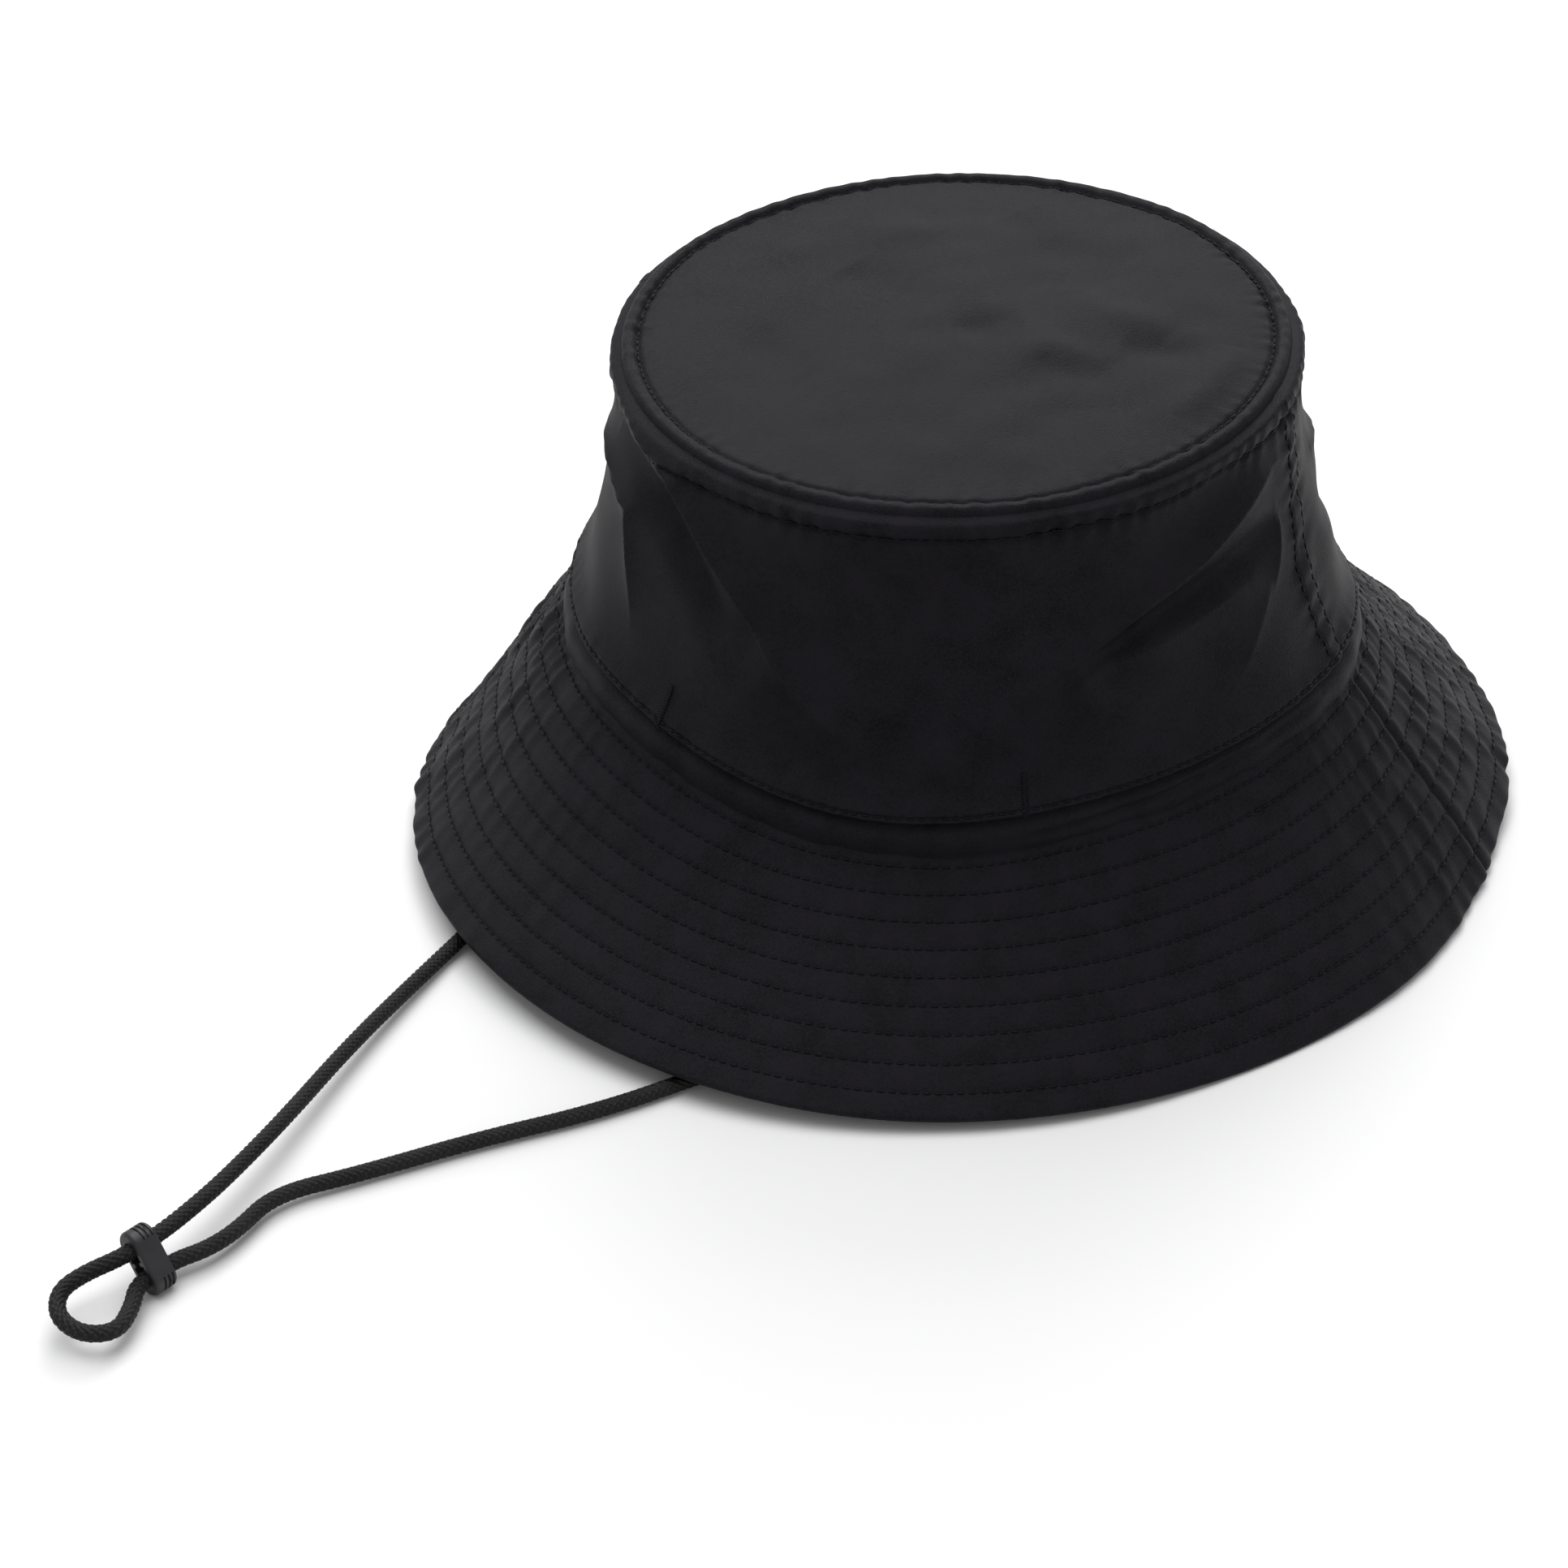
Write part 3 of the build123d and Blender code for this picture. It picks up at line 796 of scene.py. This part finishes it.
sweatband = strip("sweatband_tape", "sweatband", *sweatband_ends, -sweatband_drop, sweatband_rise,
                  sweatband_inside, sweatband_thickness, sweatband_steps)
inner_face = sweatband - normals_of(sweatband, False) * sweatband_thickness
last_column = sweatband_steps - 1.1  # just short of the end, so that samples stay on the strip
for row in (1.5, 21.5):
    sew(inner_face[:, ::-1], np.full(sweatband_steps, row),
        np.linspace(0, last_column, sweatband_steps), closed=False)
strip("adjuster_strip", "adjuster_tape", *adjuster_ends, 0, adjuster_height,
      adjuster_inside, tape_thickness, adjuster_steps)
for node, ear in zip(("side_seam_tape_right", "side_seam_tape_left"), ears):
    strip(node + "_strip", node, ear - side_tape_half_turn, ear + side_tape_half_turn,
          side_tape_foot, side_tape_head, side_tape_inside, tape_thickness, side_tape_steps)


def top_tape():
    """The tape that covers the top seam inside, a flat ring below the crown's top."""
    width = np.linspace(-top_tape_width, 0.0, 8)[:, None]
    radius = crown_top_radius - top_tape_inside + width
    a = np.radians(angles)[None, :]
    x, y = radius * np.cos(a), radius * np.sin(a)
    drop = top_tape_drop + 0.1 * MM * waves(a * 80 * MM, width, 8, 30 * MM, 8 * MM)
    z = top_height + crown_top_slope[0] * x + crown_top_slope[1] * y - drop
    grid = np.stack([x + crown_top_shift[0], y + crown_top_shift[1], z], -1)
    piece = cloth_solid("top_seam_tape_strip", grid[::-1], tape_thickness, tape_cloth)
    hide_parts("top_seam_tape")
    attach(piece, "hat")


top_tape()

anchor_sides = 40
anchor_levels = 18
anchor_hollow = 0.35  # size of the inner face, as a share of the outer
anchor_stitch_rows = (11.0, 13.5)


def anchor(node):
    """The folded tape that holds one end of the cord: two leaves round the cord's end, sewn across."""
    low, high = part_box(node)
    centre = (low + high) / 2
    size = high - low
    turns = np.linspace(0, 2 * np.pi, anchor_sides, endpoint=False)
    rows = []
    for level in np.linspace(0, 1, anchor_levels):
        pinch = 0.30 + 0.70 * math.sin(math.pi * min(1.0, 0.18 + 1.25 * (1 - level)) / 2) ** 1.5
        square = np.sign(np.cos(turns)) * np.abs(np.cos(turns)) ** 0.6
        flat = np.sign(np.sin(turns)) * np.abs(np.sin(turns)) ** 0.6
        x = centre.x + square * size.x / 2 * pinch
        y = centre.y + flat * size.y / 2 * (0.94 + 0.04 * math.sin(9 * level))
        rows.append(np.stack([x, y, np.full_like(x, low.z + size.z * level)], -1))
    rows = np.stack(rows)
    hollow = rows * anchor_hollow + np.array(centre) * (1 - anchor_hollow)
    piece = skin(node + "_fold", loop_of(rows, hollow), tape_cloth)
    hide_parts(node)
    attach(piece, "hat")
    for row in anchor_stitch_rows:
        sew(rows[:, ::-1], np.full(anchor_sides + 1, row), np.linspace(0, anchor_sides, anchor_sides + 1))


anchor("cord_anchor_left")
anchor("cord_anchor_right")
thread_object("inner_stitching", thread_material)

# ---------------------------------------------------------------- bar tacks


def bar_tack(node, angle):
    """A dense zigzag of thread up the crown from the base stitching."""
    corners = tack_turns * 2
    rise = np.linspace(-0.5 * MM, tack_height, corners)
    swing = np.degrees(tack_half_width / head_radius) * np.where(np.arange(corners) % 2, 1, -1)
    length = wall_length(np.array([angle]))[0]
    row = row_at(np.clip(rise / length, 0, 1), shares)
    column = (angle + swing) / 360 * columns
    for k in range(corners - 1):
        ends = np.linspace(0, 1, 3)
        r = row[k] + (row[k + 1] - row[k]) * ends
        c = column[k] + (column[k + 1] - column[k]) * ends
        start = sample(side_grid, r[:1], c[:1])
        end = sample(side_grid, r[-1:], c[-1:])
        length_across = np.linalg.norm(end - start)
        sew(side_grid, r, c, pitch=length_across * 0.99, length=length_across * 0.95)
    piece = thread_object(node + "_thread", thread_material)
    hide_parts(node)


bar_tack("bartack_left", tack_angles[0])
bar_tack("bartack_right", tack_angles[1])

# ---------------------------------------------------------------- cord and lock

lock_low, lock_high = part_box("cord_lock")
heading = Vector((math.cos(lock_heading), math.sin(lock_heading), 0))
sideways = Vector((-heading.y, heading.x, 0))
upward = sideways * math.sin(lock_lean) + Vector((0, 0, math.cos(lock_lean)))
lock_centre = (lock_low + lock_high) / 2
upper_pass = lock_centre + upward * strand_pitch / 2
lower_pass = lock_centre - upward * strand_pitch / 2
hat_side = 5.0 * MM
loop_side = 5.0 * MM
hang_height = 25 * MM  # the cord hangs straight down from its anchors to here

# Braid
braid_strands = 8
braid_lay = 14.0 * MM
braid_sink = 0.34 * MM
braid_depth = 0.44 * MM
braid_sides = 48
braid_step = 0.22 * MM


def anchor_mouth(node):
    """Where the cord enters an anchor, in the middle of its lower end."""
    low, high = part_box(node)
    return Vector(((low.x + high.x) / 2, (low.y + high.y) / 2, low.z))


left_mouth = anchor_mouth("cord_anchor_left")
right_mouth = anchor_mouth("cord_anchor_right")
left_strand = [
    (-86, -28, 4),
    (-84, -66, 2.2),
    (-87, -104, 2.2),
    (-91, -130, 2.8),
    (-94, -160, 4.8),
    (-95, -190, 6.8),
    (-97, -214, 8.2),
    (-99, -227, 9),
]
loop = [
    (-111, -253, 8.5),
    (-114, -259, 7.5),
    (-111, -265, 6.5),
    (-104, -267, 5.5),
    (-98, -263, 4.8),
    (-99, -255, 4.4),
]
right_strand = [
    (-93, -233, 4),
    (-90, -225, 3.5),
    (-88, -211, 3),
    (-74, -198, 2.4),
    (-54, -178, 2.3),
    (-32, -159, 2.2),
    (-14, -138, 2.2),
    (8, -114, 2.2),
    (40, -84, 2.2),
    (71, -54, 2.4),
    (86, -26, 5),
]


def in_metres(points):
    """Vectors in metres from points in millimetres."""
    return [Vector(point) * MM for point in points]


route = [left_mouth, Vector((left_mouth.x, left_mouth.y, hang_height))] + in_metres(left_strand)
route += [upper_pass + heading * hat_side, upper_pass - heading * loop_side] + in_metres(loop)
route += [lower_pass - heading * loop_side, lower_pass + heading * hat_side] + in_metres(right_strand)
route += [Vector((right_mouth.x, right_mouth.y, hang_height)), right_mouth]


def smooth_line(points):
    """Points along the NURBS curve whose control points are given."""
    curve = bpy.data.curves.new("cord_line", "CURVE")
    curve.dimensions = "3D"
    curve.resolution_u = 40
    spline = curve.splines.new("NURBS")
    spline.points.add(len(points) - 1)
    for point, place in zip(spline.points, points):
        point.co = (*place, 1)
    spline.order_u = 3
    spline.use_endpoint_u = True
    holder = bpy.data.objects.new("cord_line", curve)
    bpy.context.scene.collection.objects.link(holder)
    bpy.context.view_layer.update()
    depsgraph = bpy.context.evaluated_depsgraph_get()
    line = bpy.data.meshes.new_from_object(holder.evaluated_get(depsgraph))
    found = np.array([vertex.co[:] for vertex in line.vertices])
    bpy.data.objects.remove(holder)
    bpy.data.meshes.remove(line)
    return found


def evenly(points, step):
    """The same line with points a step apart."""
    place = np.concatenate([[0], np.cumsum(np.linalg.norm(np.diff(points, axis=0), axis=1))])
    even = np.linspace(0, place[-1], int(place[-1] / step) + 1)
    return np.stack([np.interp(even, place, points[:, k]) for k in range(3)], -1), even


def braided_cord(name, line, radius):
    """A tube along a line with the over-and-under relief of a round braid."""
    points, place = evenly(line, braid_step)
    tangent = np.gradient(points, axis=0)
    tangent /= np.linalg.norm(tangent, axis=1, keepdims=True)
    first = np.zeros_like(points)
    first[0] = (0, 1, 0)
    for k in range(1, len(points)):
        side = first[k - 1] - tangent[k] * (first[k - 1] @ tangent[k])
        first[k] = side / np.linalg.norm(side)
    second = np.cross(tangent, first)
    sides = braid_sides
    turn = np.arange(sides) * 2 * np.pi / sides
    turned_share = turn[None, :] / (2 * np.pi)
    lay_share = place[:, None] / braid_lay
    right = np.sin(np.pi * braid_strands * (turned_share + lay_share))
    left = np.sin(np.pi * braid_strands * (turned_share - lay_share))
    over = np.clip(0.5 + 1.2 * right * left, 0, 1)
    right_strand_rise = np.abs(right) ** 0.7 * (0.1 + 0.9 * over)
    left_strand_rise = np.abs(left) ** 0.7 * (1 - 0.9 * over)
    relief = np.maximum(right_strand_rise, left_strand_rise)
    size = radius - braid_sink + braid_depth * relief
    ring = (np.cos(turn)[None, :, None] * first[:, None] + np.sin(turn)[None, :, None] * second[:, None])
    rows = points[:, None] + ring * size[..., None]
    count = len(points)
    index = np.arange(count * sides).reshape(count, sides)
    after = np.roll(index, -1, axis=1)
    quads = np.stack([index[:-1], after[:-1], after[1:], index[1:]], -1).reshape(-1, 4)
    u = np.broadcast_to(np.arange(sides + 1) * 2 * np.pi * radius / sides, (count, sides + 1))
    v = np.broadcast_to(place[:, None], (count, sides + 1))
    pair = np.stack([u, v], -1)
    uvs = np.stack([pair[:-1, :-1], pair[:-1, 1:], pair[1:, 1:], pair[1:, :-1]], 2).reshape(-1, 4, 2)
    cord = mesh_object(name, rows, quads, uvs, cord_material)
    return cord, points


cord_line = smooth_line(route)
chin_cord, cord_points = braided_cord("braided_chin_cord", cord_line, cord_diameter / 2)
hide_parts("chin_cord")
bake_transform(chin_cord)

lock_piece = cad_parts["cord_lock"]
lock_piece.data.materials.clear()
lock_piece.data.materials.append(lock_material)

# ---------------------------------------------------------------- floor, light and camera


def floor():
    """A plain pale surface that the hat stands on."""
    size = 6.0
    mesh = bpy.data.meshes.new("floor")
    corners = [(-size, -size, 0), (size, -size, 0), (size, size, 0), (-size, size, 0)]
    mesh.from_pydata(corners, [], [(0, 1, 2, 3)])
    material = new_material("floor", (0.74, 0.74, 0.745), 0.8)[0]
    mesh.materials.append(material)
    thing = bpy.data.objects.new("floor", mesh)
    bpy.context.scene.collection.objects.link(thing)


floor()


def softbox(name, place, aim, size, power):
    """A square soft light aimed at a point."""
    light = bpy.data.lights.new(name, "AREA")
    light.size = size
    light.energy = power
    thing = bpy.data.objects.new(name, light)
    thing.location = place
    thing.rotation_euler = (Vector(aim) - Vector(place)).to_track_quat("-Z", "Y").to_euler()
    bpy.context.scene.collection.objects.link(thing)


softbox("overhead", place=(-0.4, 0.3, 2.4), aim=(0, 0, 0), size=2.6, power=60)
softbox("back", place=(-0.45, 1.9, 1.5), aim=(0, 0, 0.08), size=1.3, power=28)

world_strength = 0.56
world = bpy.data.worlds.new("studio")
world.use_nodes = True
world.node_tree.nodes["Background"].inputs["Color"].default_value = (1, 1, 1, 1)
world.node_tree.nodes["Background"].inputs["Strength"].default_value = world_strength
bpy.context.scene.world = world
bpy.context.scene.view_settings.view_transform = "Standard"

camera_sensor_width = 36
camera_view_angle = math.radians(24.3)
camera_distance = 0.85
camera_azimuth = math.radians(20)
camera_elevation = math.radians(34.5)
camera_aim = Vector((-16.1 * MM, -83.0 * MM, 46.0 * MM))
backward = Vector((math.sin(camera_azimuth) * math.cos(camera_elevation),
                   -math.cos(camera_azimuth) * math.cos(camera_elevation),
                   math.sin(camera_elevation)))
camera = bpy.data.objects.new("camera", bpy.data.cameras.new("camera"))
camera.location = camera_aim + backward * camera_distance
camera.rotation_euler = (-backward).to_track_quat("-Z", "Y").to_euler()
camera.data.sensor_width = camera_sensor_width
camera.data.angle = camera_view_angle
bpy.context.scene.collection.objects.link(camera)
bpy.context.scene.camera = camera
